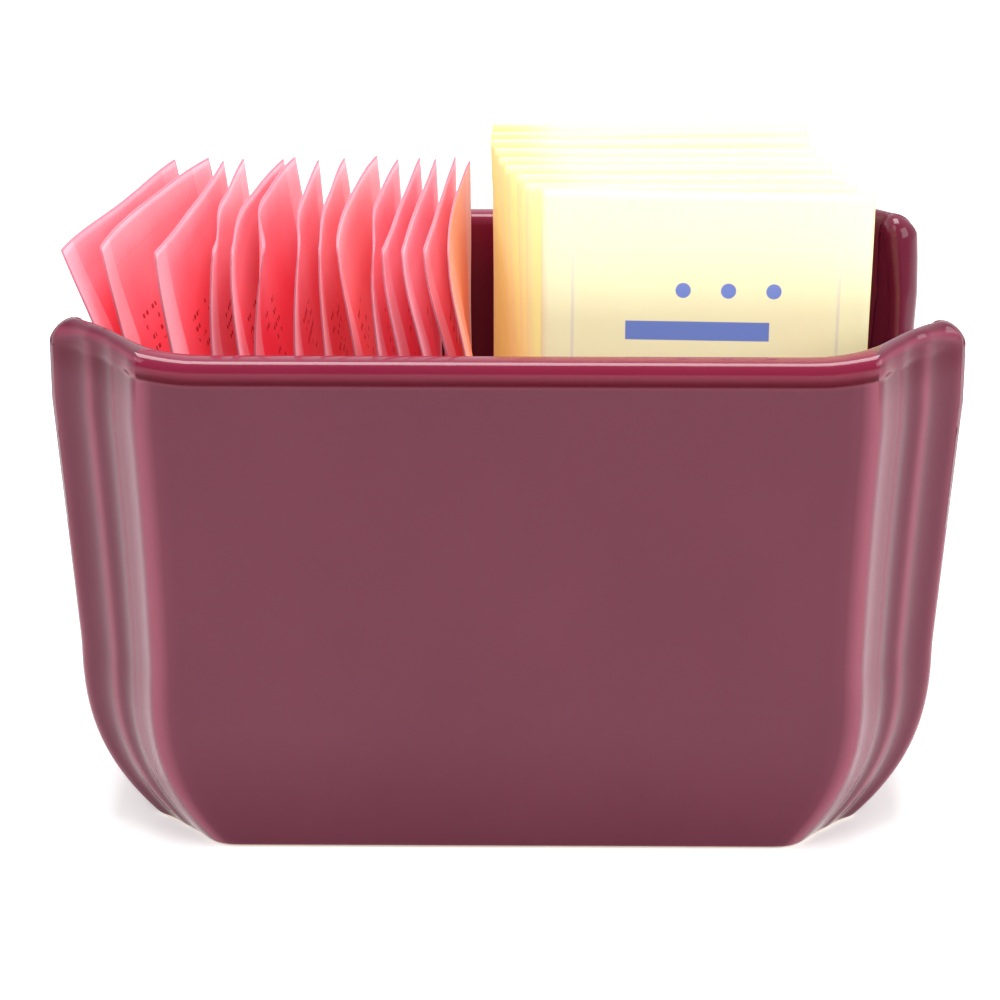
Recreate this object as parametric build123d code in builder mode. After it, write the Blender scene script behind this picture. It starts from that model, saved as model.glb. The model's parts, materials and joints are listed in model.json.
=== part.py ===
from build123d import *
from math import cos, radians, sin, tan
import os

# Sugar packet holder: one glazed ceramic holder and the packets that stand in it.
# Millimetres, +Z up, +X along the holder, the front faces -Y.
# The origin is the middle of the foot, on the table.

# Driving sizes of the holder
holder_length = 120.0
holder_depth = 70.4
rim_height = 69.9
post_rise = 2.3
post_height = rim_height + post_rise
wall = 3.6

# Lip round the rim, which stands out at the front and back and is flush at the ends
lip_overhang = 0.9
lip_height = 4.2
lip_corner_radius = 2.4
lip_under_radius = 0.7

# Lower body, which turns in to the foot, each inset from the rim's outside
foot_end_inset = 12.4
foot_side_inset = 2.0
turn_height = 26.0
turn_end_inset = 2.5
turn_side_inset = 1.2
turn_curve_share = 2.6
flank_height = 61.0
foot_bevel_height = 1.2
foot_bevel_inset = 0.8

# Fluted corners, each a diagonal run of three flutes between four ridges
corner_run_foot = 9.3
corner_run_rim = 11.9
corner_depth = 9.8
ridge_length_shares = [0.0, 0.26, 0.55, 1.0]
ridge_depth_shares = [0.0, 0.36, 0.67, 1.0]
flute_sag_share = 0.15

# Well for the packets and the hollow under the floor
floor_height = 17.5
floor_thickness = 4.5
floor_radius = 3.0
well_corner_radius = 5.0
foot_wall = 5.0
foot_hollow_draft = 4.0
foot_hollow_radius = 8.0

# Scooped end walls and the gentle rise of the rim to the corner posts
scoop_post_width = 3.0
scoop_depth = 25.7
scoop_bottom_radius = 12.0
scoop_side_lean = 10.0
post_radius = 2.6
rise_start_inset = 20.0
rise_end_inset = 6.0
scoop_wall_reach = 11.0

turn_sections = 5
overrun = 2.0

# Packets, flat at their crimped ends and full at the belly
seal_thickness = 0.4
packet_gap = 0.3
packet_height_shares = [0.0, 0.1, 0.3, 0.5, 0.7, 0.9, 1.0]
packet_belly_shares = [0.1, 0.45, 1.0, 0.9, 0.6, 0.2, 0.1]

# Pink packets, edge on to the front, in a fan that opens upwards
pink_length = 63.0
pink_width = 44.0
pink_belly = 1.7
pink_pitch = 2.77
pink_end_room = 17.4
pink_first_lean = 8.1
pink_shift = 1.2
pink_place_shares = [0, 0.17, 0.36, 0.61, 0.87, 0.65, 0.8, 1, 1.13, 0.9, 0.69, 0.46, 0.24, 0]
pink_shift_shares = [0, 0.4, -0.8, 0.3, -0.3, 0.7, -0.6, 0.2, 1, -0.5, 0.3, -0.2, 0.5, -1]
pink_turns = [12.6, 14.3, 8.3, 4.7, 8.3, 6.9, 3.4, 4.0, 5.0, 5.3, 6.2, 4.8, 4.7, 3.2]

# Yellow packets, flat to the front, in a row that leans back
yellow_length = 70.0
yellow_width = 43.6
yellow_belly = 2.3
yellow_pitch = 4.2
yellow_end_room = 37.8
yellow_side_room = 11.2
yellow_lean = 5.0
yellow_shift = 3.0
yellow_shift_shares = [-0.85, -0.4, 0.0, 0.2, 0.1, 0.3, 0.5, 0.7, 1.0]
yellow_tilts = [0.4, 1.2, 0.8, 0.4, 0.3, 0.6, 0.3, 0.2, -0.8]
yellow_count = len(yellow_tilts)
row_gap = 6.8


def at_height(height, at_foot, at_turn, at_top):
    if height < turn_height:
        to_turn = 1 - height / turn_height
        return at_turn + (at_foot - at_turn) * to_turn**turn_curve_share
    to_top = (height - turn_height) / (flank_height - turn_height)
    return at_turn + (at_top - at_turn) * min(to_top, 1)


def body_half_length(height):
    at_foot = holder_length / 2 - foot_end_inset
    at_turn = holder_length / 2 - turn_end_inset
    return at_height(height, at_foot, at_turn, holder_length / 2)


def body_half_depth(height):
    at_foot = holder_depth / 2 - foot_side_inset
    at_turn = holder_depth / 2 - turn_side_inset
    return at_height(height, at_foot, at_turn, holder_depth / 2 - lip_overhang)


def corner_run(height):
    to_rim = height / rim_height
    return corner_run_foot + (corner_run_rim - corner_run_foot) * to_rim


def ridge_points(height, inset=0):
    half_length = body_half_length(height) - inset
    half_depth = body_half_depth(height) - inset
    points = []
    for length_share, depth_share in zip(ridge_length_shares, ridge_depth_shares):
        x = half_length - corner_run(height) * (1 - length_share)
        y = half_depth - corner_depth * depth_share
        points.append((x, y))
    return points


def flute(start, end):
    middle_x = (start[0] + end[0]) / 2
    middle_y = (start[1] + end[1]) / 2
    sag_x = (start[1] - end[1]) * flute_sag_share
    sag_y = (end[0] - start[0]) * flute_sag_share
    return (middle_x - sag_x, middle_y - sag_y)


def body_section(height, inset=0):
    corner = ridge_points(height, inset)
    with BuildSketch(Plane.XY.offset(height)) as section:
        with BuildLine():
            Line((0, corner[0][1]), corner[0])
            for start, end in zip(corner, corner[1:]):
                ThreePointArc(start, flute(start, end), end)
            Line(corner[-1], (corner[-1][0], 0))
            mirror(about=Plane.XZ)
            mirror(about=Plane.YZ)
        make_face()
    return section.sketch


def plain_section(height, inset):
    corner = ridge_points(height)
    with BuildSketch(Plane.XY.offset(height)) as section:
        with BuildLine():
            Polyline((0, corner[0][1]), corner[0], corner[-1], (corner[-1][0], 0))
            mirror(about=Plane.XZ)
            mirror(about=Plane.YZ)
        make_face()
        if inset:
            offset(amount=-inset, kind=Kind.INTERSECTION)
    return section.sketch


def rim_outline(height):
    corner = ridge_points(post_height)
    with BuildSketch(Plane.XY.offset(height)) as section:
        with BuildLine():
            Polyline((0, corner[0][1]), *corner, (corner[-1][0], 0))
            mirror(about=Plane.XZ)
            mirror(about=Plane.YZ)
        make_face()
        offset(amount=lip_overhang, kind=Kind.INTERSECTION)
        Rectangle(holder_length, holder_depth, mode=Mode.INTERSECT)
        fillet(section.vertices(), lip_corner_radius)
    return section.sketch


def well_section(height):
    with BuildSketch(Plane.XY.offset(height)) as section:
        add(plain_section(height, wall))
        fillet(section.vertices(), well_corner_radius)
    return section.sketch


# Holder
top_height = post_height + overrun
lip_bottom = rim_height - lip_height

with BuildPart() as lip:
    add(rim_outline(lip_bottom))
    extrude(amount=post_height - lip_bottom)
    fillet(lip.faces().sort_by(Axis.Z)[0].edges(), lip_under_radius)

with BuildPart() as well:
    add(well_section(floor_height))
    add(well_section(turn_height))
    loft(ruled=True)
    add(well_section(turn_height))
    add(well_section(flank_height))
    loft(ruled=True)
    add(well_section(flank_height))
    add(well_section(top_height))
    loft(ruled=True)
    fillet(well.faces().sort_by(Axis.Z)[0].edges(), floor_radius)

with BuildPart() as foot_hollow:
    with BuildSketch(Plane.XY) as hollow_outline:
        add(plain_section(0, foot_wall))
        fillet(hollow_outline.vertices(), foot_hollow_radius)
    extrude(amount=floor_height - floor_thickness, taper=foot_hollow_draft)

scoop_height = post_height - scoop_depth
scoop_edge = ridge_points(post_height)[-1][1] - scoop_post_width
scoop_lean = scoop_depth * tan(radians(scoop_side_lean))
scoop_start = holder_length / 2 - scoop_wall_reach
scoop_base = (scoop_edge - scoop_lean, scoop_height)
scoop_top = (scoop_edge, post_height)
scoop_reach = (scoop_edge + 2 * post_radius, post_height)
with BuildPart() as scoops:
    with BuildSketch(Plane.YZ.offset(-holder_length)):
        with BuildLine():
            FilletPolyline(
                (0, scoop_height),
                scoop_base,
                scoop_top,
                scoop_reach,
                radius=[scoop_bottom_radius, post_radius],
            )
            Polyline(scoop_reach, (scoop_reach[0], top_height), (0, top_height))
            mirror(about=Plane.YZ)
        make_face()
    extrude(amount=2 * holder_length)
    Box(2 * scoop_start, holder_depth, 2 * top_height, mode=Mode.SUBTRACT)

rise_start = holder_length / 2 - rise_start_inset
rise_end = holder_length / 2 - rise_end_inset
with BuildPart() as rim_dip:
    with BuildSketch(Plane.XZ.offset(-holder_depth)):
        with BuildLine():
            Line((0, rim_height), (rise_start, rim_height))
            Spline((rise_start, rim_height), (rise_end, post_height), tangents=[(1, 0), (1, 0)])
            Polyline((rise_end, post_height), (rise_end, top_height), (0, top_height))
            mirror(about=Plane.YZ)
        make_face()
    extrude(amount=2 * holder_depth)

with BuildPart() as holder_body:
    add(body_section(0, foot_bevel_inset))
    add(body_section(foot_bevel_height))
    loft(ruled=True)
    for step in range(turn_sections):
        to_turn = step / (turn_sections - 1)
        add(body_section(foot_bevel_height + to_turn * (turn_height - foot_bevel_height)))
    loft()
    add(body_section(turn_height))
    add(body_section(flank_height))
    loft(ruled=True)
    add(body_section(flank_height))
    add(body_section(post_height))
    loft(ruled=True)
    add(lip.part)
    add(well.part, mode=Mode.SUBTRACT)
    add(foot_hollow.part, mode=Mode.SUBTRACT)
    add(scoops.part, mode=Mode.SUBTRACT)
    add(rim_dip.part, mode=Mode.SUBTRACT)

holder_body.part.label = "holder_body"
os.makedirs("parts", exist_ok=True)
export_step(holder_body.part, "parts/holder_body.step")


def packet(foot, length, width, belly):
    with BuildPart() as sachet:
        for height_share, belly_share in zip(packet_height_shares, packet_belly_shares):
            rise = (belly - seal_thickness) * belly_share / 2
            edge = seal_thickness / 2
            with BuildSketch(foot.offset(length * height_share)):
                with BuildLine():
                    front = ThreePointArc((-width / 2, edge), (0, edge + rise), (width / 2, edge))
                    side = Line(front @ 1, (width / 2, -edge))
                    back = ThreePointArc(side @ 1, (0, -edge - rise), (-width / 2, -edge))
                    Line(back @ 1, front @ 0)
                make_face()
        loft()
    return sachet


def pink_plane(number):
    pattern = min(number, len(pink_turns) - 1)
    along = (number + pink_place_shares[pattern]) * pink_pitch
    turn = radians(pink_turns[pattern])
    lean = radians(pink_first_lean * (1 - along / pink_row_length))
    across = Vector(sin(turn), cos(turn), 0)
    face = Vector(cos(turn), -sin(turn), 0)
    rise = Vector(0, 0, cos(lean)) - face * sin(lean)
    shift = pink_shift_shares[pattern] * pink_shift
    return Plane(origin=(pink_row_start + along, shift, packet_floor), x_dir=across, z_dir=rise)


def yellow_plane(number):
    y = yellow_row_front + (yellow_count - 1 - number) * yellow_pitch
    x = yellow_row_middle + yellow_shift_shares[number] * yellow_shift
    lean = radians(yellow_lean)
    tilt = radians(yellow_tilts[number])
    back = Vector(0, sin(lean), cos(lean))
    across = Vector(cos(tilt), 0, 0) + back * sin(tilt)
    rise = back * cos(tilt) - Vector(sin(tilt), 0, 0)
    corner_drop = yellow_width / 2 * sin(abs(tilt))
    return Plane(origin=(x, y, packet_floor + corner_drop), x_dir=across, z_dir=rise)


# Packets
packet_floor = floor_height + packet_gap
yellow_row_middle = holder_length / 2 - yellow_end_room
yellow_row_front = yellow_side_room - holder_depth / 2
pink_row_start = pink_end_room - holder_length / 2
pink_row_end = yellow_row_middle - yellow_width / 2 - row_gap
pink_row_length = pink_row_end - pink_row_start
pink_count = int(pink_row_length / pink_pitch) + 1

for number in range(pink_count):
    pink_packet = packet(pink_plane(number), pink_length, pink_width, pink_belly)
    name = f"pink_packet_{number + 1:02d}"
    pink_packet.part.label = name
    export_step(pink_packet.part, f"parts/{name}.step")

for number in range(yellow_count):
    yellow_packet = packet(yellow_plane(number), yellow_length, yellow_width, yellow_belly)
    name = f"yellow_packet_{number + 1:02d}"
    yellow_packet.part.label = name
    export_step(yellow_packet.part, f"parts/{name}.step")
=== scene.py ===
import json
import math

import bmesh
import bpy
import numpy as np
from mathutils import Euler, Matrix, Vector


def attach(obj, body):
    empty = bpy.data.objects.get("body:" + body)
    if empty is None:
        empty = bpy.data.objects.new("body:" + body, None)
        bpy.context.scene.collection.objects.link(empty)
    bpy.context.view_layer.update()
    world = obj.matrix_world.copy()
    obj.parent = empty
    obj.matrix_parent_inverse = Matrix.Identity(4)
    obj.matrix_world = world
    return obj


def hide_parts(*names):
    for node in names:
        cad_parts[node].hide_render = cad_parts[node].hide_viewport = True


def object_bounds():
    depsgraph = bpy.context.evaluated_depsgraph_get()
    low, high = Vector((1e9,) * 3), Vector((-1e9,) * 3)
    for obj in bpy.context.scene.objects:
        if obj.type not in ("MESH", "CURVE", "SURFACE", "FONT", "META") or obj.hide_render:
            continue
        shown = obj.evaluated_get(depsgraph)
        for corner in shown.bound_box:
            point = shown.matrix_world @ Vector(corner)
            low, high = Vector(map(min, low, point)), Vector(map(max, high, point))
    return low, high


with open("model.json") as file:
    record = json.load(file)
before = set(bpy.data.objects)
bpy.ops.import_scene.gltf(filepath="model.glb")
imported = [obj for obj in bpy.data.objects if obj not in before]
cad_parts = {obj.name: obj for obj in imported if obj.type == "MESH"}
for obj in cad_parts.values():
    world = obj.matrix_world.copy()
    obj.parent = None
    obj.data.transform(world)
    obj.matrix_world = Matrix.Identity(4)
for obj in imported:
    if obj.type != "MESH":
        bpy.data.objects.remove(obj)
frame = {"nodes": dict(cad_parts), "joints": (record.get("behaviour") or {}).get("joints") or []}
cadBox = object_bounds()
mm = 0.001
print("frame loaded:", len(frame["nodes"]), "pieces")


# Small helpers

def smoothStep(low, high, value):
    t = np.clip((value - low) / (high - low), 0.0, 1.0)
    return t * t * (3 - 2 * t)


def newObject(name, data):
    made = bpy.data.objects.new(name, data)
    bpy.context.scene.collection.objects.link(made)
    return made


def addAttribute(mesh, label, values):
    layer = mesh.attributes.new(label, "FLOAT", "POINT")
    layer.data.foreach_set("value", np.asarray(values, np.float32))


def meshObject(name, points, faces, attributes):
    mesh = bpy.data.meshes.new(name)
    mesh.from_pydata([tuple(p) for p in points], [], [tuple(f) for f in faces])
    for label, values in attributes.items():
        addAttribute(mesh, label, values)
    work = bmesh.new()
    work.from_mesh(mesh)
    bmesh.ops.recalc_face_normals(work, faces=work.faces)
    work.to_mesh(mesh)
    work.free()
    mesh.shade_smooth()
    return newObject(name, mesh)


class NodeSheet:
    # short ways to add and join the nodes of a tree
    def __init__(self, tree):
        self.tree = tree

    def node(self, kind, **settings):
        node = self.tree.nodes.new(kind)
        for key, value in settings.items():
            setattr(node, key, value)
        return node

    def feed(self, socket, value):
        if isinstance(value, bpy.types.NodeSocket):
            self.tree.links.new(value, socket)
        else:
            socket.default_value = value

    def feedAll(self, sockets, values):
        for key, value in values.items():
            self.feed(sockets[key], value)

    def made(self, kind, values, output=0, **settings):
        # a node with its inputs fed, of which one output is used
        node = self.node(kind, **settings)
        self.feedAll(node.inputs, values)
        return node.outputs[output]

    def calc(self, operation, first, second=0.0, third=None, clamp=False):
        values = {0: first, 1: second} if third is None else {0: first, 1: second, 2: third}
        return self.made("ShaderNodeMath", values, operation=operation, use_clamp=clamp)

    def total(self, *values):
        whole = values[0]
        for value in values[1:]:
            whole = self.calc("ADD", whole, value)
        return whole

    def product(self, *values):
        whole = values[0]
        for value in values[1:]:
            whole = self.calc("MULTIPLY", whole, value)
        return whole

    def ramp(self, value, low, high, toLow=0.0, toHigh=1.0):
        numbers = dict(enumerate((value, low, high, toLow, toHigh)))
        return self.made("ShaderNodeMapRange", numbers, interpolation_type="SMOOTHSTEP")

    def vector(self, *values):
        return self.made("ShaderNodeCombineXYZ", dict(enumerate(values)))

    def parts(self, vector):
        node = self.node("ShaderNodeSeparateXYZ")
        self.feed(node.inputs[0], vector)
        return node.outputs

    def noise(self, place, scale, detail):
        return self.made("ShaderNodeTexNoise", {"Vector": place, "Scale": scale, "Detail": detail}, "Fac")

    def attribute(self, name):
        return self.node("ShaderNodeAttribute", attribute_name=name).outputs["Fac"]

    def mixed(self, factor, first, second):
        return self.made("ShaderNodeMix", {"Factor": factor, "A": first, "B": second}, "Result", data_type="RGBA")

    def bump(self, height, strength, distance):
        values = {"Strength": strength, "Distance": distance, "Height": height}
        return self.made("ShaderNodeBump", values, "Normal")


def newMaterial(name):
    # the material, its sheet and the inputs of its shader
    material = bpy.data.materials.new(name)
    material.use_nodes = True
    return material, NodeSheet(material.node_tree), material.node_tree.nodes["Principled BSDF"].inputs


# Camera

camera = {
    "place": (1.8, -481.0, 224.0),
    "pitch": 21.18,  # degrees below level
    "yaw": 0.342,
    "roll": 0.092,
    "lens": 132.9,
    "sensor": 36.0,
}


def placeCamera():
    data = bpy.data.cameras.new("studioCamera")
    data.sensor_width = camera["sensor"]
    data.lens = camera["lens"]
    data.clip_start = 0.01
    data.clip_end = 20.0
    eye = newObject("studioCamera", data)
    turn = Euler((math.radians(90 - camera["pitch"]), 0, math.radians(camera["yaw"])), "XYZ")
    roll = Matrix.Rotation(math.radians(camera["roll"]), 3, "Z")
    eye.matrix_world = Matrix.Translation(Vector(camera["place"]) * mm) @ (turn.to_matrix() @ roll).to_4x4()
    bpy.context.scene.camera = eye


placeCamera()
print("camera placed")


# Glazed holder

holder = {
    "length": 120.0, "depth": 70.4, "rim": 69.9, "postRise": 2.3,
    "wall": 3.6, "lipOut": 0.9, "lipBottom": 66.5, "lipRoll": 1.25,
    "lipCurve": 1.6,  # 2 would be a round underside
    "lipFollow": 0.9,  # how far the lip's underside rises with the posts
    "lipOutShares": [1.0, 0.15, 0.1, 0.0],
    "footLength": 95.2, "footDepth": 66.4,
    "turnHeight": 26.0, "turnLength": 115.0, "turnDepth": 68.0, "turnCurve": 2.6, "flankHeight": 61.0,
    "cornerRunFoot": 8.7, "cornerRunRim": 12.1, "cornerRunSwell": 0.8, "cornerDepth": 9.8,
    "ridgeLengthShares": [0.0, 0.26, 0.55, 1.0],
    "ridgeDepthShares": [0.0, 0.36, 0.67, 1.0],
    "plainShares": [0.31, 0.61],  # the same places on a corner without flutes
    "fluteSag": [0.06, 0.10, 0.12],
    "lipSag": 0.85,  # of the flutes' own
    "ridgeRound": [0.85, 0.58, 0.62, 0.9],  # softness of each ridge, mm
    "footSoft": 1.1, "footSoftEnd": 14.0,  # more for the first ridge at the foot, mm
    # thin glaze along each ridge, which also carries a painted highlight
    "ridgeThinAndLit": [(0.3, 1.15, 1.0), (0.0, 0.5, 0.6), (0.0, 0.75, 0.8), (0.0, 0.8, 0.6)],  # shift, width, strength
    "ridgeThinAndLitHeight": 40.0,
    "lipRound": 1.1, "wellRound": 2.2, "hollowRound": 3.5,
    "footRound": 0.7, "footInset": 1.0, "footInsetRound": 1.5, "footWall": 5.0, "footInnerRound": 1.0,
    "hollowTop": 13.0, "hollowCurve": 2.0, "hollowDraft": 0.07, "ceilingInset": 3.2,
    "floor": 17.5, "floorRound": 3.0,
    "scoopWidth": 43.0, "scoopDepth": 25.7, "scoopLean": 10.0,
    "scoopBottomRound": 12.0, "postRound": 3.0,
    "riseStart": 40.0, "riseEnd": 56.5,
    "rimRound": 2.1, "postSoft": 3.4, "sideRound": 2.9, "rimSquare": 0.74,
    "rearNarrow": 0.026,  # the rear posts stand a little further in than the front ones
    "frontStations": 16, "fluteStations": 17, "endStations": 44,
    "ceilingShares": [0.02, 0.15, 0.4, 0.7, 0.9], "hollowRows": [7.5, 4.0, 1.4],
    "wallRows": [(0.0, 0.28, 30), (0.28, 0.90, 30), (0.90, 1.0, 18)],  # from and to, in shares of the height
    "floorShares": [0.8, 0.5, 0.2, 0.02],
}


def wallAt(z, foot, turn, top):
    if z < holder["turnHeight"]:
        t = 1 - z / holder["turnHeight"]
        return turn + (foot - turn) * t ** holder["turnCurve"]
    t = (z - holder["turnHeight"]) / (holder["flankHeight"] - holder["turnHeight"])
    return turn + (top - turn) * min(t, 1.0)


def cornerAt(z):
    h = holder
    halfX = wallAt(z, h["footLength"] / 2, h["turnLength"] / 2, h["length"] / 2)
    halfY = wallAt(z, h["footDepth"] / 2, h["turnDepth"] / 2, h["depth"] / 2 - h["lipOut"])
    run = h["cornerRunFoot"] + (h["cornerRunRim"] - h["cornerRunFoot"]) * z / h["rim"]
    run += h["cornerRunSwell"] * math.sin(math.pi * min(z / h["rim"], 1))
    return halfX, halfY, run


def stationShares():
    # places round a quarter, closest at the ridges: on which of the five lines, and how far along it
    front = np.sin(np.linspace(0, math.pi / 2, holder["frontStations"]))[:-1]
    count = holder["fluteStations"]
    eased = (1 - np.cos(np.linspace(0, math.pi, count))) / 2
    flute = (0.6 * eased + 0.4 * np.linspace(0, 1, count))[:-1]
    lines = [front, flute, flute, flute, np.linspace(0, 1, holder["endStations"])]
    return np.repeat(np.arange(5), [len(line) for line in lines]), np.concatenate(lines)


pieceOf, shareOf = stationShares()  # line 0 is the long side, 1 to 3 are flutes, 4 is the end wall
stationCount = len(pieceOf)
onFront, onFlutes, onSide = pieceOf == 0, (pieceOf > 0) & (pieceOf < 4), pieceOf >= 3
sideFrom = np.where(onSide)[0][0] - 10  # from here on x is read off y
sideBlend = np.where(pieceOf == 3, shareOf, np.where(pieceOf > 3, 1.0, 0.0))


def sampleLines(lines, softness):
    # lines: five lines of dense points; softness: one sigma for each corner between them
    reach = 30  # points that are mirrored beyond both ends, so that the outline crosses the axes square
    dense = np.concatenate([lines[0]] + [line[1:] for line in lines[1:]])
    steps = np.r_[0, np.cumsum(np.hypot(*np.diff(dense, axis=0).T))]
    cornerPlaces = steps[np.cumsum([0] + [len(line) - 1 for line in lines])]
    first, last = cornerPlaces[pieceOf], cornerPlaces[pieceOf + 1]
    target = first + (last - first) * shareOf
    flipped = dense[1:reach][::-1] * [-1, 1]
    tail = dense[-reach:-1][::-1] * [1, -1]
    full = np.concatenate([flipped, dense, tail])
    fullSteps = np.r_[-steps[1:reach][::-1], steps, 2 * steps[-1] - steps[-reach:-1][::-1]]
    sigma = np.full(len(target), 0.12)
    for place, soft in zip(cornerPlaces[1:5], softness):
        near = np.exp(-((target - place) / (3.0 * soft + 0.2)) ** 2)
        sigma = np.maximum(sigma, soft * near)
    gap = (target[:, None] - fullSteps[None, :]) / sigma[:, None]
    kernel = np.exp(-0.5 * gap * gap) * np.gradient(fullSteps)
    kernel /= kernel.sum(1, keepdims=True)
    return kernel @ full


def straight(a, b, spacing=0.12):
    n = max(40, int(math.dist(a, b) / spacing))
    t = np.linspace(0, 1, n)[:, None]
    return np.array(a) * (1 - t) + np.array(b) * t


def sagged(a, b, sag):
    a, b = np.array(a), np.array(b)
    t = np.linspace(0, 1, 60)[:, None]
    inward = np.array([a[1] - b[1], b[0] - a[0]]) * sag
    return a * (1 - t) + b * t - inward * 4 * t * (1 - t)


def flutedOutline(z):
    h = holder
    halfX, halfY, run = cornerAt(z)
    ridges = [
        (halfX - run * (1 - a), halfY - h["cornerDepth"] * b)
        for a, b in zip(h["ridgeLengthShares"], h["ridgeDepthShares"])
    ]
    lines = [straight((0, halfY), ridges[0])]
    lines += [sagged(a, b, sag) for a, b, sag in zip(ridges, ridges[1:], h["fluteSag"])]
    lines.append(straight(ridges[-1], (halfX, 0)))
    first = h["ridgeRound"][0] + h["footSoft"] * float(smoothStep(h["footSoftEnd"], 0.0, z))
    return sampleLines(lines, [first] + h["ridgeRound"][1:])


def lipOutline(z):
    h = holder
    halfX, halfY, run = cornerAt(z)
    corners = []
    for k, out in enumerate(h["lipOutShares"]):
        x = halfX - run * (1 - h["ridgeLengthShares"][k])
        y = halfY - h["cornerDepth"] * h["ridgeDepthShares"][k]
        corners.append((min(x + out * h["lipOut"] * (k > 0), h["length"] / 2), y + out * h["lipOut"]))
    lines = [straight((0, corners[0][1]), corners[0])]
    lines += [sagged(p, q, h["lipSag"] * sag) for p, q, sag in zip(corners, corners[1:], h["fluteSag"])]
    lines.append(straight(corners[-1], (corners[-1][0], 0)))
    return sampleLines(lines, [h["lipRound"]] + h["ridgeRound"][1:])


def plainOutline(z, out, softness):
    # the wall's outline without flutes, moved out (or in, below 0)
    h = holder
    halfX, halfY, run = cornerAt(z)
    normal = np.array([h["cornerDepth"], run]) / math.hypot(run, h["cornerDepth"])
    a = np.array([halfX - run + out * (1 - normal[1]) / normal[0], halfY + out])
    d = np.array([halfX + out, halfY - h["cornerDepth"] + out * (1 - normal[0]) / normal[1]])
    b, c = (a + (d - a) * share for share in h["plainShares"])
    lines = [straight((0, a[1]), a), straight(a, b), straight(b, c), straight(c, d), straight(d, (d[0], 0))]
    return sampleLines(lines, [softness, 0.2, 0.2, softness])


def rimLine():
    # the rim of the end wall seen from the side: post, steep side and rounded bottom of the scoop
    h = holder
    top = h["rim"] + h["postRise"]
    edge = h["scoopWidth"] / 2
    bottom = top - h["scoopDepth"]
    base = edge - h["scoopDepth"] * math.tan(math.radians(h["scoopLean"]))
    outline = [(40.0, top), (edge, top), (base, bottom), (0.0, bottom), (-40.0, bottom)]
    points = [outline[0]]
    for k, radius in ((1, h["postRound"]), (2, h["scoopBottomRound"])):
        before, corner, after = (np.array(outline[k + d]) for d in (-1, 0, 1))
        u = (before - corner) / np.linalg.norm(before - corner)
        v = (after - corner) / np.linalg.norm(after - corner)
        angle = math.acos(float(u @ v))
        cut = radius / math.tan(angle / 2)
        centre = corner + (u + v) / np.linalg.norm(u + v) * radius / math.sin(angle / 2)
        start, end = corner + u * cut, corner + v * cut
        a0 = math.atan2(*(start - centre)[::-1])
        a1 = math.atan2(*(end - centre)[::-1])
        sweep = (a1 - a0 + math.pi) % (2 * math.pi) - math.pi
        for turn in a0 + sweep * np.linspace(0, 1, 24):
            points.append(centre + radius * np.array([math.cos(turn), math.sin(turn)]))
    points.append((0.0, bottom))
    points = np.array(points)
    filled = [straight(p, q, 0.2)[:-1] if math.dist(p, q) > 1 else [p] for p, q in zip(points, points[1:])]
    return np.concatenate(filled + [points[-1:]])


def rimFrame():
    # for each station: rim point (y, z), the way into the wall, and the depth of the rounding
    h = holder
    lipLine = lipOutline(h["rim"])
    y = lipLine[:, 1].copy()
    rise = h["postRise"] * smoothStep(h["riseStart"], h["riseEnd"], np.abs(lipLine[:, 0]))
    z = h["rim"] + rise
    line = rimLine()
    along = np.r_[0, np.cumsum(np.hypot(*np.diff(line, axis=0).T))]
    inEnd, inFlute = pieceOf == 4, pieceOf == 3
    start = np.interp(-y[inEnd][0], -line[:, 0], along)
    place = start + (along[-1] - start) * shareOf
    y[inEnd] = np.interp(place[inEnd], along, line[:, 0])
    z[inEnd] = np.interp(place[inEnd], along, line[:, 1]) + (rise[inEnd] - h["postRise"])
    z[inFlute] += np.interp(-y[inFlute], -line[:, 0], line[:, 1]) - line[0, 1]
    tangent = np.gradient(np.c_[y, z], axis=0)
    tangent /= np.linalg.norm(tangent, axis=1)[:, None]
    into = np.c_[-tangent[:, 1], tangent[:, 0]]
    into[into[:, 1] > 0] *= -1
    falling = tangent[:, 1] < -0.02  # down the scoop's side, where the wall lies beyond the rim line
    into[falling, 0] = np.abs(into[falling, 0])
    into[pieceOf < 3] = (0, -1)
    blend = sideBlend[inFlute, None]
    into[inFlute] = into[inFlute] * blend + np.array([0, -1]) * (1 - blend)
    into /= np.linalg.norm(into, axis=1)[:, None]
    soft = h["rimRound"] + (h["postSoft"] - h["rimRound"]) * sideBlend
    depth = soft + (h["sideRound"] - soft) * smoothStep(0.1, 0.8, np.abs(into[:, 0]))
    return y, z, into, depth


rimY, rimZ, intoWall, rimDepth = rimFrame()
levelStep = 0.4
levels = np.arange(0.0, 73.5, levelStep)
flutedLevels = np.array([flutedOutline(z) for z in levels])
lipLevels = np.array([lipOutline(z) for z in levels])
wellLevels = np.array([plainOutline(z, -holder["wall"], holder["wellRound"]) for z in levels])
lipTop = np.where(pieceOf < 4, rimZ, holder["rim"] + holder["postRise"])
lipFoot = holder["lipBottom"] + (lipTop - holder["rim"]) * holder["lipFollow"]


def lipShare(z, foot):
    # how far the lip stands out at a height: 0 under it, 1 at its full bead
    t = np.clip((foot + holder["lipRoll"] - z) / holder["lipRoll"], 0, 1)
    return np.clip(1 - t ** holder["lipCurve"], 0, 1) ** (1 / holder["lipCurve"])


def lineAt(z, k, inner):
    # the outline at a height of station k, eased between the levels worked out above
    place = min(max(z / levelStep, 0.0), len(levels) - 1.001)
    low, part = int(place), place - int(place)
    mixed = lambda table: table[low] * (1 - part) + table[low + 1] * part
    if inner:
        return mixed(wellLevels)
    share = lipShare(z, lipFoot[k])
    if share == 0:
        return mixed(flutedLevels)
    return mixed(flutedLevels) * (1 - share) + mixed(lipLevels) * share


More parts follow.
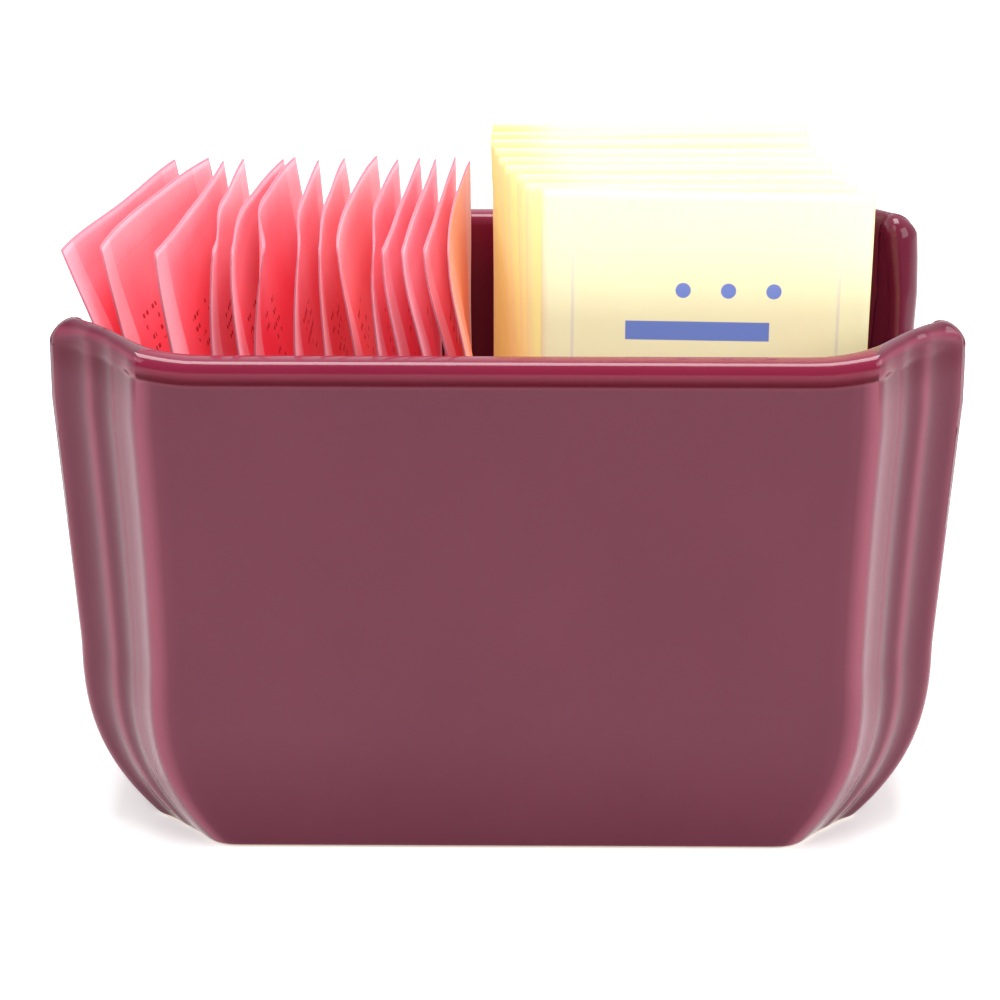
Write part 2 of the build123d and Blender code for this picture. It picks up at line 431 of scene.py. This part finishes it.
def rowPoints(heights, shift, inner=False):
    # one row of the wall: x and y of every station at its own height
    row = np.zeros((stationCount, 2))
    for k, z in enumerate(heights):
        line = lineAt(z, k, inner)
        row[k] = line[k]
        if onSide[k]:
            side = line[sideFrom:]
            row[k, 1] += shift[k]
            row[k, 0] = np.interp(-row[k, 1], -side[:, 1], side[:, 0])
    return row


def buildHolder():
    h = holder
    rows = []
    masks = {name: [] for name in ("thinGlaze", "bareClay", "lipGlaze", "glassyGlaze", "pooledGlaze")}

    def addRow(line, z, **values):
        rows.append(np.c_[line, np.broadcast_to(z, stationCount)])
        for name, mask in masks.items():
            mask.append(np.broadcast_to(np.asarray(values.get(name, 0.0), float), stationCount))

    # glaze: thin on the ridges with painted highlights on them, painted lighter and glassy in the first flute,
    # crimson along the lip
    # the first flute gets a painted lighter band
    ridgeGlazeAndHighlight = np.where(pieceOf == 1, 0.4, 0.0)
    fluted = flutedOutline(h["ridgeThinAndLitHeight"])
    for ridge, (shift, width, strength) in enumerate(h["ridgeThinAndLit"], 1):
        place = fluted[np.where(pieceOf == ridge)[0][0]] - [shift, 0]
        far = np.hypot(*(fluted - place).T)
        ridgeGlazeAndHighlight = np.maximum(ridgeGlazeAndHighlight, strength * np.exp(-(far / width) ** 2))
    glassy = np.where(pieceOf == 1, smoothStep(0.0, 0.3, shareOf) * smoothStep(1.0, 0.86, shareOf), 0.0)
    redder = np.where(onFront, 0.8, np.where(pieceOf == 1, 0.8 - 0.7 * shareOf, 0.1))

    # under side, all bare clay: ceiling of the hollow, its rounding, the hollow's wall, inner edge of the foot ring
    top, curve, edge = h["hollowTop"], h["hollowCurve"], h["footInnerRound"]
    under = [(h["ceilingInset"], top, share) for share in h["ceilingShares"]]
    for angle in np.linspace(0, math.pi / 2, 6):
        inset = h["hollowDraft"] * (top - curve) + curve * (1 - math.sin(angle))
        under.append((inset, top - curve * (1 - math.cos(angle)), 1))
    under += [(h["hollowDraft"] * z, z, 1) for z in h["hollowRows"]]
    for angle in np.linspace(0, math.pi / 2, 5)[1:]:
        under.append((-edge * (1 - math.cos(angle)), edge * (1 - math.sin(angle)), 1))
    for inset, z, share in under:
        addRow(plainOutline(0.0, -h["footWall"] - inset, h["hollowRound"]) * share, z, bareClay=1)

    # rounding of the foot outside; its lowest band is bare clay, whose light colour also stands as a painted
    # reflection of the floor
    inset = plainOutline(0.0, -h["footInset"], h["footInsetRound"]) - flutedOutline(0.0)
    for angle in np.linspace(math.pi / 2, 0, 7):
        z = h["footRound"] * (1 - math.sin(angle))
        line = flutedOutline(z) + inset * (1 - math.cos(angle)) * 0.9
        addRow(line, z, thinGlaze=ridgeGlazeAndHighlight, bareClay=smoothStep(0.25, 0.6, angle), glassyGlaze=glassy)

    # outer wall up to the collar, where the rounding of the rim starts
    collarY = rimY + intoWall[:, 0] * rimDepth
    collarZ = rimZ + intoWall[:, 1] * rimDepth
    outerTop, innerTop = (
        np.array([lineAt(z, k, inner)[k, 1] for k, z in enumerate(collarZ)]) for inner in (False, True)
    )
    outerShift = np.where(onSide, collarY - outerTop, 0.0)
    for share in np.concatenate([np.linspace(start, end, count)[1:] for start, end, count in h["wallRows"]]):
        z = h["footRound"] + (collarZ - h["footRound"]) * share
        above = z - lipFoot
        high = smoothStep(-0.5, 0.3, above)
        # painted shade under the lip's bead: full on the long side, faint on the flutes
        pooled = smoothStep(-0.15, 0.15, above) * smoothStep(1.9, 0.5, above)
        pooled = pooled * np.where(onFront, 1.0, np.where(onFlutes, 0.2, 0.7))
        # painted shade in the pockets where the flutes run up under the lip
        pocketShade = np.where(onFlutes, 0.35 * smoothStep(-5.0, -0.5, above) * smoothStep(0.8, -0.3, above), 0)
        addRow(
            rowPoints(z, outerShift * smoothStep(0.35, 1.0, share)), z,
            thinGlaze=ridgeGlazeAndHighlight * (1 - 0.4 * high), lipGlaze=high * redder,
            glassyGlaze=glassy * (1 - high), pooledGlaze=np.maximum(pooled, pocketShade),
        )
    outerCollar = rows[-1]

    # rounding of the rim, from the outer collar to the inner one
    innerShift = np.where(onSide, (collarY - innerTop) * sideBlend, 0.0)
    innerCollar = np.c_[rowPoints(collarZ, innerShift, inner=True), collarZ]
    square = h["rimSquare"] + (1 - h["rimSquare"]) * sideBlend
    for angle in np.linspace(0, math.pi, 21)[1:-1]:
        turned = np.copysign(abs(math.cos(angle)) ** square, math.cos(angle))[:, None]
        t = (1 - turned) / 2
        t = t + 0.5 * sideBlend[:, None] * t * (1 - t)
        middle = outerCollar * (1 - t) + innerCollar * t
        middle[:, 1:] -= intoWall * (rimDepth * math.sin(angle) ** square)[:, None]
        # painted highlight line along the rim's front edge on the flutes; elsewhere the rim's top is painted a
        # little lighter
        thin = np.where(onFlutes, 0.9 * math.exp(-((angle - 0.5) / 0.28) ** 2), 0.4 * math.sin(angle) ** 3 * redder)
        bright = np.where(onFlutes, smoothStep(0.7, 1.3, angle) * smoothStep(3.0, 2.3, angle), 0)
        lip = np.where(onFlutes, 0, redder)
        addRow(middle[:, :2], middle[:, 2], thinGlaze=thin, lipGlaze=lip, glassyGlaze=bright)

    # inside of the well, the rounding of its floor and the floor
    low = h["floor"] + h["floorRound"]
    for share in np.linspace(0, 1, 20):
        z = collarZ + (low - collarZ) * share
        shift = innerShift * smoothStep(0.0, 0.65, 1 - share)
        addRow(rowPoints(z, shift, inner=True), z, lipGlaze=redder * max(0, 1 - share * 6))
    for angle in np.linspace(0, math.pi / 2, 7)[1:]:
        line = plainOutline(low, -h["wall"] - h["floorRound"] * (1 - math.cos(angle)), h["wellRound"])
        addRow(line, low - h["floorRound"] * math.sin(angle))
    for share in h["floorShares"]:
        addRow(line * share, h["floor"])

    # four quarters make each row a ring
    def ring(row, signs=((1, 1, 1), (1, -1, 1), (-1, -1, 1), (-1, 1, 1))):
        q1, q2, q3, q4 = (row * np.array(sign) for sign in signs)
        return np.concatenate([q1, q2[::-1][1:], q3[1:], q4[::-1][1:-1]])

    points = np.concatenate([ring(row) for row in rows])
    values = {name: np.concatenate([ring(row, (1, 1, 1, 1)) for row in mask]) for name, mask in masks.items()}
    points[:, 0] *= 1 - h["rearNarrow"] * smoothStep(-5, 24, points[:, 1]) * smoothStep(5, 45, points[:, 2])
    around = 4 * (stationCount - 1)
    faces = []
    for a in range(0, (len(rows) - 1) * around, around):
        for k in range(around):
            n = (k + 1) % around
            faces.append((a + k, a + n, a + around + n, a + around + k))
    faces.append(tuple(range(around)))
    faces.append(tuple(reversed(range((len(rows) - 1) * around, len(rows) * around))))
    return meshObject("holder_glazed", points * mm, faces, values)


holderShell = buildHolder()
print("holder:", len(holderShell.data.vertices), "points")


# Glaze

glaze = {
    "deep": (0.108, 0.0076, 0.027, 1),
    # colour of thin glaze, also used for the painted highlights on the ridges and the rim
    "thin": (0.25, 0.052, 0.088, 1),
    "lip": (0.20, 0.008, 0.033, 1),
    # colour of the painted shade under the lip and in the flute pockets
    "pool": (0.075, 0.0015, 0.009, 1),
    "clay": (0.62, 0.50, 0.42, 1),
    "cloudScale": 45.0, "cloudDetail": 5.0, "cloudTint": 0.22, "cloudStart": -0.09,
    "roughness": 0.10, "clayRougher": 0.5, "shine": 0.33, "shadeDuller": 0.85,
    "coat": 0.33, "coatIor": 1.9, "coatRoughness": 0.12,
    "bump": 0.03, "bumpDepth": 0.0004,
}


def glazeMaterial():
    g = glaze
    material, sheet, shader = newMaterial("claretGlaze")
    labels = ("thinGlaze", "bareClay", "lipGlaze", "glassyGlaze", "pooledGlaze")
    thin, bare, lip, glassy, pooled = (sheet.attribute(label) for label in labels)
    cloud = sheet.noise(sheet.node("ShaderNodeTexCoord").outputs["Object"], g["cloudScale"], g["cloudDetail"])
    uneven = sheet.calc("MULTIPLY_ADD", cloud, g["cloudTint"], g["cloudStart"])
    colour = sheet.mixed(lip, g["deep"], g["lip"])
    # thin glaze and painted highlights
    colour = sheet.mixed(sheet.calc("ADD", thin, uneven, clamp=True), colour, g["thin"])
    # painted shade: darker colour under the lip and in the flute pockets
    colour = sheet.mixed(pooled, colour, g["pool"])
    # bare clay, which along the foot also serves as a painted reflection of the floor
    colour = sheet.mixed(bare, colour, g["clay"])
    sheet.feedAll(shader, {
        "Base Color": colour,
        "Roughness": sheet.calc("MULTIPLY_ADD", bare, g["clayRougher"], g["roughness"]),
        # the painted shade also dims the reflection there
        "Specular IOR Level": sheet.calc("MULTIPLY_ADD", pooled, -g["shadeDuller"] * g["shine"], g["shine"]),
        "Coat Weight": sheet.calc("MULTIPLY", glassy, g["coat"]),
        "Coat IOR": g["coatIor"],
        "Coat Roughness": g["coatRoughness"],
        "Normal": sheet.bump(cloud, g["bump"], g["bumpDepth"]),
    })
    return material


holderShell.data.materials.append(glazeMaterial())
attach(holderShell, "holder")
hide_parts("holder_body")
print("holder glazed")


# Paper packets

pinkPackets = {
    "body": "pink_packet_", "slot": "pink_paper",
    "length": 63.0, "width": 44.0, "edge": 0.22, "ripple": 0.5,
    # one value for each packet from the left, mm
    "belly": [2.1, 2.1, 2.1, 1.9, 1.2, 1.25, 2.0, 2.0, 1.8, 1.9, 1.9, 1.7, 1.6, 1.5],
    # near edge moves right at the rim
    "nearLow": [2.0, 1.5, 2.1, 1.2, 2.3, 1.0, 1.3, 1.5, 2.4, 3.3, 3.8, 4.0, 4.6, 3.7],
    # near margin turns back left
    "fold": [0.8, 0.8, 1.1, 0.7, 0.7, 0.9, 0.7, 0.8, 0.8, 0.8, 0.9, 0.9, 0.8, 0.6],
    # top corners and the middle of the top move left
    "nearTop": [2.5, 0.8, -0.5, -2.4, -1.9, -2.9, -2.2, -0.9, 0.3, -1.9, -0.7, 0.0, -0.1, -0.2],
    "farTop": [0.9, 0.9, 0.3, 0.4, 0.5, 0.9, 0.2, 0.9, 0.6, 0.4, 0.4, 0.3, 0.2, 0.1],
    "bow": [1.6, 2.3, -0.6, 0.1, 1.3, 1.8, 0.3, 0.9, 1.8, 0.8, 0.0, 0.3, 0.0, 0.8],
    "lean": [0.0] * 14,
    # light that the yellow paper throws on the pink
    "glow": [0.0] * 7 + [0.06, 0.12] + [0.0] * 4 + [0.45],
    "glowAtEdge": False,
}
yellowPackets = {
    "body": "yellow_packet_", "slot": "yellow_paper",
    "length": 70.0, "width": 43.6, "edge": 0.22, "ripple": 0.35,
    "belly": [2.7] * 9,
    "nearLow": [0.0] * 9,
    "fold": [0.3, 0.2, 0.3, 0.2, 0.3, 0.2, 0.3, 0.2, 0.25],
    "nearTop": [0.4, -0.3, 0.5, 0.3, -0.2, 0.4, 0.2, 0.3, 0.2],
    "farTop": [-0.3, 0.4, 0.3, -0.2, 0.3, 0.2, 0.3, -0.2, 0.25],
    "bow": [-0.5, 0.2, 0.3, -0.2, 0.2, 0.3, 0.2, 0.2, -0.4],
    "lean": [0.3, -0.3, -2.0, -2.4, -1.6, -0.9, -0.4, 0.0, 0.0],  # top moves sideways
    "glow": [0.6, 0.6, 0.55, 0.5, 0.45, 0.4, 0.35, 0.3, 0.0],
    "glowAtEdge": True,  # only where light comes in at the left edge
}
packetGrid = {"across": 41, "up": 57}
packetSizes = (
    "Length", "Width", "Belly", "Edge", "Near Low", "Fold", "Near Top", "Far Top", "Bow", "Lean", "Ripple", "Seed",
)


def packetTree():
    # a closed paper packet: flat seals, a filled belly, a turned near margin and curled top corners
    tree = bpy.data.node_groups.new("paperPacket", "GeometryNodeTree")
    face = tree.interface
    face.new_socket("Geometry", in_out="INPUT", socket_type="NodeSocketGeometry")
    for label in packetSizes:
        face.new_socket(label, in_out="INPUT", socket_type="NodeSocketFloat")
    face.new_socket("Paper", in_out="INPUT", socket_type="NodeSocketMaterial")
    face.new_socket("Geometry", in_out="OUTPUT", socket_type="NodeSocketGeometry")
    sheet = NodeSheet(tree)
    calc, ramp, product = sheet.calc, sheet.ramp, sheet.product
    given = sheet.node("NodeGroupInput").outputs
    block = {
        "Size": sheet.vector(given["Width"], given["Length"], 1.0),
        "Vertices X": packetGrid["across"], "Vertices Y": packetGrid["up"], "Vertices Z": 2,
    }
    geometry = sheet.made("GeometryNodeMeshCube", block, "Mesh")
    x, y, z = sheet.parts(sheet.node("GeometryNodeInputPosition").outputs[0])
    across = calc("DIVIDE", x, product(given["Width"], 0.5))  # -1 near edge, 1 far edge
    up = calc("ADD", calc("DIVIDE", y, given["Length"]), 0.5)  # 0 foot, 1 top
    side = calc("SIGN", z)
    # thickness: a lens across, full at the belly and flat at both seals
    lens = calc("SUBTRACT", 1.0, calc("POWER", calc("ABSOLUTE", across), 2.6), clamp=True)
    filled = product(ramp(up, 0.03, 0.36), ramp(up, 0.93, 0.42), calc("POWER", lens, 0.62))
    thickness = calc("ADD", product(filled, given["Belly"], 0.5), product(given["Edge"], 0.5))
    # bends that both sheets share
    near = product(calc("SUBTRACT", -0.5, across, clamp=True), 2.0)
    body = product(ramp(up, 0.0, 0.3), ramp(up, 1.0, 0.66))
    top = calc("POWER", product(calc("SUBTRACT", up, 0.76, clamp=True), 1 / 0.24), 1.4)
    lowShift = product(ramp(across, 0.5, -1.0), given["Near Low"], body)
    foldShift = product(near, given["Fold"], body, -1.0)
    nearCurl = product(ramp(across, 0.1, -1.0), given["Near Top"], top, -1.0)
    farCurl = product(ramp(across, 0.15, 1.0), given["Far Top"], top, -1.0)
    bowed = product(given["Bow"], ramp(up, 0.45, 1.0))
    arch = product(calc("SUBTRACT", product(across, across), 1.0), bowed)
    # slow ripples of the paper, other for each packet
    where = sheet.vector(product(across, 0.9), product(up, 2.2), given["Seed"])
    slow = calc("SUBTRACT", sheet.noise(where, 1.0, 1.0), 0.5)
    ripple = product(slow, product(given["Ripple"], ramp(up, 0.05, 0.5)))
    bend = sheet.total(lowShift, foldShift, nearCurl, farCurl, arch, ripple)
    # small creases that run out of the seals and edges
    where = sheet.vector(product(across, 6.0), product(up, 3.0), calc("ADD", given["Seed"], product(side, 3.0)))
    crease = calc("SUBTRACT", sheet.noise(where, 1.0, 2.0), 0.5)
    crease = product(crease, product(filled, 0.55), 0.6)
    out = product(side, calc("ADD", thickness, crease))
    # the filled belly draws the long edges in a little
    drawnIn = product(x, calc("SUBTRACT", 1.0, product(body, 0.012)))
    leaned = product(up, up, given["Lean"])
    final = sheet.vector(calc("ADD", drawnIn, leaned), product(up, given["Length"]), calc("ADD", bend, out))
    # values that the paper reads are kept before the block changes shape
    for label, value in (("acrossPaper", across), ("upPaper", up), ("paperSide", side)):
        kept = {"Geometry": geometry, "Name": label, "Value": value}
        geometry = sheet.made("GeometryNodeStoreNamedAttribute", kept, data_type="FLOAT", domain="POINT")
    geometry = sheet.made("GeometryNodeSetPosition", {"Geometry": geometry, "Position": final})
    geometry = sheet.made("GeometryNodeSetShadeSmooth", {"Geometry": geometry})
    geometry = sheet.made("GeometryNodeRealizeInstances", {"Geometry": geometry})
    geometry = sheet.made("GeometryNodeSetMaterial", {"Geometry": geometry, "Material": given["Paper"]})
    sheet.feed(sheet.node("NodeGroupOutput").inputs["Geometry"], geometry)
    return tree


def packetFrame(name):
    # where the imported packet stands: middle of its foot, the way across, the way up and the way out of its face
    points = np.array([v.co for v in frame["nodes"][name].data.vertices], float)
    rise = next(np.array(j["axis"], float) for j in frame["joints"] if j["child"] == name)
    rise /= np.linalg.norm(rise)
    height = points @ rise
    foot = points[height < height.min() + 0.00005]
    spread = np.linalg.svd(foot - foot.mean(0))[2][0]
    across = spread - rise * (spread @ rise)
    across /= np.linalg.norm(across)
    if across[1] + across[0] * 0.5 < 0:
        across = -across
    ends = foot @ across
    middle = foot.mean(0) + across * ((ends.min() + ends.max()) / 2 - foot.mean(0) @ across)
    return middle, across, rise, np.cross(across, rise)


def buildPackets(kind, tree, paper):
    count = sum(1 for name in frame["nodes"] if name.startswith(kind["body"]))
    inputs = {item.name: item.identifier for item in tree.interface.items_tree if item.in_out == "INPUT"}
    for k in range(count):
        name = f"{kind['body']}{k + 1:02d}"
        draft = newObject("packetStart", bpy.data.meshes.new("packetStart"))
        modifier = draft.modifiers.new("paperPacket", "NODES")
        modifier.node_group = tree
        values = {
            "Length": kind["length"], "Width": kind["width"], "Belly": kind["belly"][k], "Edge": kind["edge"],
            "Near Low": kind["nearLow"][k], "Fold": kind["fold"][k], "Near Top": kind["nearTop"][k],
            "Far Top": kind["farTop"][k], "Bow": kind["bow"][k], "Lean": kind["lean"][k], "Ripple": kind["ripple"],
            "Seed": 3.7 * k + kind["length"], "Paper": paper,
        }
        for label, value in values.items():
            modifier[inputs[label]] = value
        bpy.context.view_layer.update()
        shaped = draft.evaluated_get(bpy.context.evaluated_depsgraph_get())
        mesh = bpy.data.meshes.new_from_object(shaped)
        bpy.data.objects.remove(draft)
        mesh.name = name + "_paper"
        middle, across, rise, face = packetFrame(name)
        turn = Matrix(np.c_[across, rise, face].tolist()).to_4x4()
        mesh.transform(Matrix.Translation(Vector(middle)) @ turn @ Matrix.Scale(mm, 4))
        packet = newObject(name + "_paper", mesh)
        place = np.empty(len(mesh.vertices), np.float32)
        mesh.attributes["acrossPaper"].data.foreach_get("value", place)
        glow = kind["glow"][k] * (smoothStep(-0.5, -0.9, place) if kind["glowAtEdge"] else 1.0)
        addAttribute(mesh, "paperTone", np.full(len(place), (k * 0.618) % 1.0))
        addAttribute(mesh, "paperGlow", np.full(len(place), glow))
        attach(packet, name)
        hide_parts(name)
    print(kind["slot"], count, "packets")


paperLook = {
    "pink": {
        "base": (0.88, 0.055, 0.105, 1), "pale": (0.96, 0.43, 0.50, 1), "ink": (0.36, 0.006, 0.02, 1),
        "edge": (0.55, 0.16, 0.22, 1), "glow": (0.95, 0.30, 0.12, 1), "through": (1.0, 0.25, 0.3), "lit": 0.09,
        "width": pinkPackets["width"], "length": pinkPackets["length"],
        # margin: how much painted light the margins and the top get
        "margin": 0.72, "frame": 0.0, "badge": 0.0, "rows": 1.0,
    },
    "yellow": {
        "base": (0.96, 0.85, 0.55, 1), "pale": (0.97, 0.93, 0.60, 1), "ink": (0.17, 0.25, 0.62, 1),
        "edge": (0.96, 0.84, 0.42, 1), "glow": (0.80, 0.84, 0.12, 1), "through": (1.0, 0.8, 0.45), "lit": 0.14,
        "width": yellowPackets["width"], "length": yellowPackets["length"],
        # margin: how much painted light the margins and the top get
        "margin": 0.25, "frame": 0.22, "badge": 1.0, "rows": 0.0,
    },
    "roughness": 0.62, "soak": 0.35, "soakDepth": 0.002, "bump": 0.35, "bumpDepth": 0.00012,
}
paperSizes = ("Width", "Length", "Margin", "Frame", "Badge", "Rows")


def paperGroup():
    # masks that both papers share: pale places, some of them painted light, printed places and the height of fibres
    # and crimped seals
    tree = bpy.data.node_groups.new("packetPaper", "ShaderNodeTree")
    for label in paperSizes:
        tree.interface.new_socket(label, in_out="INPUT", socket_type="NodeSocketFloat")
    for label in ("Pale", "Ink", "Edge", "Glow", "Height"):
        tree.interface.new_socket(label, in_out="OUTPUT", socket_type="NodeSocketFloat")
    sheet = NodeSheet(tree)
    calc, ramp, product = sheet.calc, sheet.ramp, sheet.product
    given = sheet.node("NodeGroupInput").outputs
    coords = sheet.node("ShaderNodeTexCoord").outputs["Object"]
    labels = ("acrossPaper", "upPaper", "paperSide", "paperTone", "paperGlow")
    across, up, side, ownTone, glow = (sheet.attribute(label) for label in labels)

    def inside(what, middle, halfWide, soft=0.12):
        return ramp(calc("ABSOLUTE", calc("SUBTRACT", what, middle)), halfWide + soft, halfWide)

    x = product(across, product(given["Width"], 0.5))  # mm from the middle
    y = product(up, given["Length"])  # mm from the foot
    below = calc("SUBTRACT", given["Length"], y)  # mm from the top
    front = ramp(side, 0.0, 0.4)
    reach = calc("ABSOLUTE", across)
    # pale places: random tone and cloud, and painted light along the margins and the top; cut edges
    tone = product(ownTone, 0.22)
    cloudy = product(calc("SUBTRACT", sheet.noise(coords, 70.0, 3.0), 0.4), 0.5)
    # painted light: the margins and the top of each sheet are painted paler
    paintedLightBands = calc("MAXIMUM", ramp(reach, 0.745, 0.775), product(ramp(up, 0.74, 1.0), 0.8))
    pale = calc("ADD", sheet.total(tone, cloudy), product(paintedLightBands, given["Margin"]), clamp=True)
    cut = calc("MAXIMUM", ramp(reach, 0.985, 0.995), ramp(below, 0.35, 0.15))
    # frame line
    width = calc("ABSOLUTE", x)
    upright = product(inside(width, 17.6, 0.16), ramp(below, 7.3, 7.6))
    level = product(inside(below, 7.6, 0.16), ramp(width, 17.8, 17.5))
    frameLine = product(calc("MAXIMUM", upright, level), given["Frame"])
    # badge: dots in a row over a stripe
    dotX, dotY = calc("PINGPONG", calc("ADD", x, 3.0), 3.0), calc("SUBTRACT", below, 13.2)
    away = calc("SQRT", calc("ADD", product(dotX, dotX), product(dotY, dotY)))
    dots = product(inside(away, 0.0, 0.95), inside(x, 3.0, 8.0))
    stripe = product(inside(below, 18.6, 1.2), inside(x, -1.0, 9.5))
    badge = product(calc("MAXIMUM", dots, stripe), given["Badge"])
    # rows of short marks in a field, each row set off from the one below
    shifted = calc("ADD", x, product(calc("FLOOR", calc("DIVIDE", y, 1.6)), 1.1))
    marks = product(ramp(calc("PINGPONG", y, 0.8), 0.45, 0.56), ramp(calc("PINGPONG", shifted, 0.75), 0.22, 0.32))
    broken = ramp(sheet.noise(coords, 330.0, 1.0), 0.52, 0.56)
    field = product(inside(y, 46.0, 5.0), inside(x, -7.5, 5.5))
    marks = product(marks, broken, field, given["Rows"])
    ink = calc("MULTIPLY", calc("MAXIMUM", frameLine, calc("MAXIMUM", badge, marks)), front, clamp=True)
    # fibres, and ribs pressed into both seals
    seal = calc("MAXIMUM", ramp(y, 4.6, 4.2), ramp(below, 4.6, 4.2))
    ribs = product(calc("PINGPONG", x, 0.45), 2.0, seal)
    height = calc("ADD", product(sheet.noise(coords, 900.0, 6.0), 0.5), ribs)
    results = {"Pale": pale, "Ink": ink, "Edge": cut, "Glow": glow, "Height": height}
    sheet.feedAll(sheet.node("NodeGroupOutput").inputs, results)
    return tree


def paperMaterial(name, look, group):
    material, sheet, shader = newMaterial(name)
    paper = sheet.node("ShaderNodeGroup", node_tree=group)
    sheet.feedAll(paper.inputs, {label: look[label.lower()] for label in paperSizes})
    masks = paper.outputs
    colour = sheet.mixed(masks["Pale"], look["base"], look["pale"])
    for label in ("Glow", "Edge", "Ink"):
        colour = sheet.mixed(masks[label], colour, look[label.lower()])
    sheet.feedAll(shader, {
        "Base Color": colour,
        # painted light: the paper glows a little in its own colour, standing in for daylight that comes through the
        # thin sheets
        "Emission Color": colour,
        "Emission Strength": look["lit"],  # daylight that comes through the thin sheets
        "Roughness": paperLook["roughness"],
        "Subsurface Weight": paperLook["soak"],
        "Subsurface Radius": look["through"],
        "Subsurface Scale": paperLook["soakDepth"],
        "Normal": sheet.bump(masks["Height"], paperLook["bump"], paperLook["bumpDepth"]),
    })
    return material


sharedPaper = paperGroup()
paperTree = packetTree()
buildPackets(pinkPackets, paperTree, paperMaterial("pinkPaper", paperLook["pink"], sharedPaper))
buildPackets(yellowPackets, paperTree, paperMaterial("yellowPaper", paperLook["yellow"], sharedPaper))


# Studio

studio = {
    "floor": (0.93, 0.93, 0.93, 1), "floorRoughness": 0.6, "under": 0.3, "floorReach": 3,
    "around": 0.85,  # strength of the room's light, which shows white
    "room": 0.35,  # what is left of it on the camera's side
    "target": (0, 0, 0.05),
    # place, size and power
    "lamps": {
        "keyLamp": ((-0.5, -0.6, 0.8), 0.6, 3.6),
        "fillLamp": ((0.7, -0.5, 0.5), 0.6, 4.4),
        "topLamp": ((0.0, 0.1, 0.9), 0.5, 8.4),
    },
}


def areaLamp(name, place, size, power):
    data = bpy.data.lights.new(name, "AREA")
    data.energy = power
    data.size = size
    lamp = newObject(name, data)
    lamp.location = place
    lamp.rotation_euler = (Vector(studio["target"]) - Vector(place)).to_track_quat("-Z", "Y").to_euler()


def buildFloor():
    r = studio["floorReach"]
    mesh = bpy.data.meshes.new("studioFloor")
    mesh.from_pydata([(-r, -r, 0), (r, -r, 0), (r, r, 0), (-r, r, 0)], [], [(0, 1, 2, 3)])
    floor = newObject("studioFloor", mesh)
    floor.location.z = cadBox[0][2]
    paint, sheet, shader = newMaterial("studioFloor")
    sheet.feedAll(shader, {
        "Base Color": studio["floor"], "Roughness": studio["floorRoughness"],
        "Emission Color": (1, 1, 1, 1), "Emission Strength": studio["under"],
    })
    mesh.materials.append(paint)


def buildRoom():
    # white to the camera; gloss and paper get less of it from the camera's side
    world = bpy.data.worlds.new("studioWorld")
    world.use_nodes = True
    bpy.context.scene.world = world
    sheet = NodeSheet(world.node_tree)
    path = sheet.node("ShaderNodeLightPath").outputs
    shown = sheet.calc("MAXIMUM", path["Is Camera Ray"], path["Is Glossy Ray"])
    level = sheet.calc("MULTIPLY_ADD", shown, 1.0 - studio["around"], studio["around"])
    incoming = sheet.parts(sheet.node("ShaderNodeNewGeometry").outputs["Incoming"])
    behind = sheet.ramp(incoming["Y"], 0.55, -0.15, studio["room"], 1.0)
    seen = sheet.calc("MAXIMUM", path["Is Camera Ray"], behind)
    sheet.feedAll(world.node_tree.nodes["Background"].inputs, {
        "Color": (1, 1, 1, 1), "Strength": sheet.calc("MULTIPLY", level, seen),
    })


buildFloor()
buildRoom()
for lampName, lampFacts in studio["lamps"].items():
    areaLamp(lampName, *lampFacts)
bpy.context.scene.view_settings.view_transform = "Standard"
print("studio ready")
